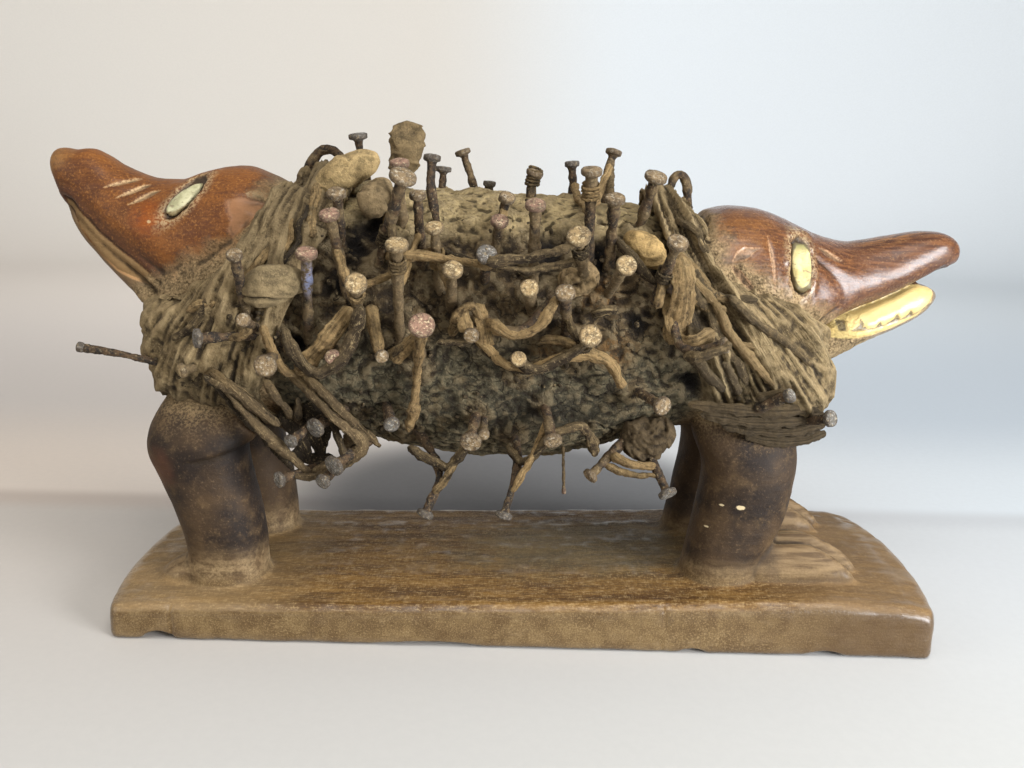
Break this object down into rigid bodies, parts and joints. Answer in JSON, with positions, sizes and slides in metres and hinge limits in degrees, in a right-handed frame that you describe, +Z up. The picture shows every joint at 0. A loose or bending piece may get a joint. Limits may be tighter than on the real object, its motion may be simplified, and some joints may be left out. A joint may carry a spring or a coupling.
{
  "type": "double-headed power figure of a dog",
  "caption": "Carved wooden dog with a head at each end, on its own plinth, bound with rag collars and packets and studded with hand-made iron nails.",
  "frame": {"origin": "centre of the plinth's flat underside", "axes": "+X along the body towards the lower head with open jaws, +Y from the front to the back, +Z up"},
  "size_m": [0.47, 0.1744, 0.2563],
  "materials": {
    "carved_wood": "oiled red-brown heads, dusty brown legs and plinth, grey-green mud crust on the trunk",
    "eye_inlay": "pale cream and grey-green inlay, slightly waxy",
    "rag": "coarse rag stiffened with ochre mud",
    "packet_cloth": "small tied cloth and fibre packets, dusty",
    "forged_iron": "hand-made nails with dark rust, ochre crust and worn lighter heads"
  },
  "bodies": {
    "root": {"arched_nail_left": "forged_iron", "arched_nail_right": "forged_iron", "back_nails_flank": "forged_iron", "back_nails_middle_left": "forged_iron", "back_nails_middle_right": "forged_iron", "back_nails_shoulder": "forged_iron", "bent_crown_nail": "forged_iron", "bent_front_nail": "forged_iron", "blunt_front_nail": "forged_iron", "bright_headed_nail": "forged_iron", "broad_headed_nail": "forged_iron", "carved_figure": "carved_wood", "cloth_roll": "packet_cloth", "collar_nail_dark": "forged_iron", "collar_nail_left": "forged_iron", "collar_nail_low": "forged_iron", "collar_nail_upper": "forged_iron", "collar_nails_crossed": "forged_iron", "corded_nails": "forged_iron", "crown_nail_front": "forged_iron", "crown_nail_rear": "forged_iron", "elbow_nail": "forged_iron", "fibre_knot": "packet_cloth", "flank_nail_left": "forged_iron", "flank_nail_right": "forged_iron", "flared_nail": "forged_iron", "folded_packet": "packet_cloth", "forked_hanging_nails_left": "forged_iron", "forked_hanging_nails_right": "forged_iron", "hanging_lump": "packet_cloth", "knotted_hanging_nails": "forged_iron", "knotted_packet": "packet_cloth", "lashed_crown_nails": "forged_iron", "lashed_left_flank_nails": "forged_iron", "lashed_middle_nails": "forged_iron", "lashed_right_crown_nails": "forged_iron", "lashed_right_flank_nails": "forged_iron", "lashed_shoulder_nails": "forged_iron", "leaning_crown_nail": "forged_iron", "leaning_right_nail": "forged_iron", "left_head_eye_back": "eye_inlay", "left_head_eye_front": "eye_inlay", "left_rag_collar": "rag", "low_crown_nail": "forged_iron", "lump_nails": "forged_iron", "ochre_packet": "packet_cloth", "outward_nail_left": "forged_iron", "outward_nail_right": "forged_iron", "right_head_eye_back": "eye_inlay", "right_head_eye_front": "eye_inlay", "right_rag_collar": "rag", "rounded_packet": "packet_cloth", "shoulder_nail": "forged_iron", "small_crown_nail": "forged_iron", "string_wrapped_nail": "forged_iron", "tall_middle_nail": "forged_iron"}
  },
  "joints": []
}
